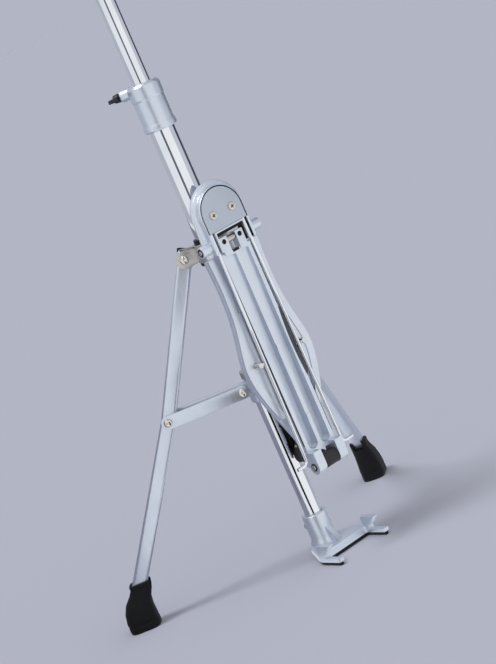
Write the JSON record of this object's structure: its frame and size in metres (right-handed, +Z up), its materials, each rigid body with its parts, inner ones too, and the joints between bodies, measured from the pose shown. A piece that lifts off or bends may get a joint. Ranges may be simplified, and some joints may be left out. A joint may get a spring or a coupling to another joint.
{
  "type": "hi-hat stand",
  "caption": "Folding hi-hat cymbal stand with spread legs and stays, a pull rod, a height clamp and a foot pedal folded up against the tube.",
  "frame": {"origin": "on the floor, under the axis of the main tube, on the underside of the base pad", "axes": "+Z up along the tubes; -Y towards the player, the pedal's side; +X to the right seen from the player"},
  "size_m": [0.4028, 0.221, 1],
  "materials": {
    "chrome": "polished",
    "casting": "satin cast",
    "aluminium": "bright anodised",
    "cover": "satin grey-blue",
    "steel": "brushed",
    "nickel": "nickel plated",
    "dark_steel": "dark zinc",
    "black_nylon": "matte",
    "rubber": "matte",
    "felt": "wool felt"
  },
  "bodies": {
    "stand": {"main_tube": "chrome", "base_post": "chrome", "lower_bracket": "casting", "bracket_set_screw": "nickel", "base_shoe": "casting", "shoe_set_screw": "nickel", "base_pad": "rubber", "height_clamp": "casting", "height_bush": "black_nylon", "rod_bush": "black_nylon", "return_spring": "dark_steel"},
    "height_screw": {"height_wing_screw": "dark_steel"},
    "collar": {"leg_collar": "steel", "collar_liner": "black_nylon", "left_leg_rivet": "nickel", "right_leg_rivet": "nickel"},
    "collar_screw": {"collar_wing_screw": "black_nylon"},
    "left_leg": {"left_leg": "aluminium", "left_foot": "rubber"},
    "left_stay": {"left_front_stay": "aluminium", "left_back_stay": "aluminium", "left_stay_rivet": "nickel", "left_front_elbow_rivet": "nickel", "left_back_elbow_rivet": "nickel"},
    "right_leg": {"right_leg": "aluminium", "right_foot": "rubber"},
    "right_stay": {"right_front_stay": "aluminium", "right_back_stay": "aluminium", "right_stay_rivet": "nickel", "right_front_elbow_rivet": "nickel", "right_back_elbow_rivet": "nickel"},
    "upper": {"upper_tube": "chrome", "tilter_base": "casting", "upper_rod_bush": "black_nylon", "seat_plate": "black_nylon", "seat_felt": "felt"},
    "tilt_screw": {"tilter_screw": "nickel"},
    "rod": {"pull_rod": "chrome", "spring_seat": "nickel", "rod_end": "dark_steel", "drive_pin": "dark_steel"},
    "link": {"drive_link": "black_nylon", "link_screw": "nickel"},
    "board": {"footboard": "casting", "toe_axle": "nickel", "left_wire_clip": "steel", "right_wire_clip": "steel"},
    "heel": {"heel_plate": "casting", "heel_cover": "cover", "left_cover_screw": "nickel", "right_cover_screw": "nickel", "heel_axle": "nickel", "radius_rod": "chrome"},
    "clutch": {"clutch_body": "chrome", "clutch_bottom_nut": "chrome", "clutch_lower_felt": "felt", "clutch_upper_felt": "felt", "clutch_top_nut": "chrome"},
    "clutch_screw": {"clutch_wing_screw": "dark_steel"}
  },
  "joints": [
    {"name": "height_screw_turn", "type": "hinge", "parent": "stand", "child": "height_screw", "pos_m": [0, 0, 0.54845], "axis": [-0.6428, 0.766, 0], "continuous": true},
    {"name": "collar_slide", "type": "slide", "parent": "stand", "child": "collar", "axis": [0, 0, 1], "range_m": [0, 0.11046]},
    {"name": "collar_screw_turn", "type": "hinge", "parent": "collar", "child": "collar_screw", "pos_m": [0, 0, 0.3645], "axis": [0, 1, 0], "continuous": true},
    {"name": "left_leg_fold", "type": "hinge", "parent": "collar", "child": "left_leg", "pos_m": [-0.02528, 0.02121, 0.3645], "axis": [-0.6428, -0.766, 0], "range_deg": [0, 26.78]},
    {"name": "left_stay_fold", "type": "hinge", "parent": "stand", "child": "left_stay", "pos_m": [-0.02528, 0.02121, 0.2075], "axis": [0.6428, 0.766, 0], "range_deg": [0, 84.9]},
    {"name": "right_leg_fold", "type": "hinge", "parent": "collar", "child": "right_leg", "pos_m": [0.02528, 0.02121, 0.3645], "axis": [-0.6428, 0.766, 0], "range_deg": [0, 26.78]},
    {"name": "right_stay_fold", "type": "hinge", "parent": "stand", "child": "right_stay", "pos_m": [0.02528, 0.02121, 0.2075], "axis": [0.6428, -0.766, 0], "range_deg": [0, 84.9]},
    {"name": "height_slide", "type": "slide", "parent": "stand", "child": "upper", "axis": [0, 0, 1], "range_m": [-0.13, 0.015]},
    {"name": "tilt_screw_turn", "type": "hinge", "parent": "upper", "child": "tilt_screw", "pos_m": [-0.02, 0, 0.765], "axis": [0, 0, 1], "continuous": true},
    {"name": "rod_pull", "type": "slide", "parent": "stand", "child": "rod", "axis": [0, 0, 1], "range_m": [-0.04, 0], "stiffness_N_per_m": 1000, "springref_m": 0.03, "deforming": ["return_spring"]},
    {"name": "link_swing", "type": "hinge", "parent": "rod", "child": "link", "pos_m": [0, 0, 0.118], "axis": [1, 0, 0], "range_deg": [0, 55.01]},
    {"name": "board_swing", "type": "hinge", "parent": "link", "child": "board", "pos_m": [0, -0.041, 0.11], "axis": [1, 0, 0], "range_deg": [0, 50.7]},
    {"name": "heel_swing", "type": "hinge", "parent": "board", "child": "heel", "pos_m": [0, -0.035, 0.3705], "axis": [1, 0, 0], "range_deg": [-15.71, 0]},
    {"name": "clutch_slide", "type": "slide", "parent": "rod", "child": "clutch", "axis": [0, 0, 1], "range_m": [-0.015, 0.08]},
    {"name": "clutch_screw_turn", "type": "hinge", "parent": "clutch", "child": "clutch_screw", "pos_m": [0, 0, 0.903], "axis": [0, -1, 0], "continuous": true}
  ],
  "couplings": [
    {"joint": "left_leg_fold", "follows": "collar_slide", "rad_per_m": 4.2298},
    {"joint": "left_stay_fold", "follows": "collar_slide", "rad_per_m": 13.411},
    {"joint": "right_leg_fold", "follows": "collar_slide", "rad_per_m": 4.2298},
    {"joint": "right_stay_fold", "follows": "collar_slide", "rad_per_m": 13.411},
    {"joint": "link_swing", "follows": "board_swing", "ratio": 1.0848},
    {"joint": "heel_swing", "follows": "board_swing", "ratio": -0.3096}
  ]
}
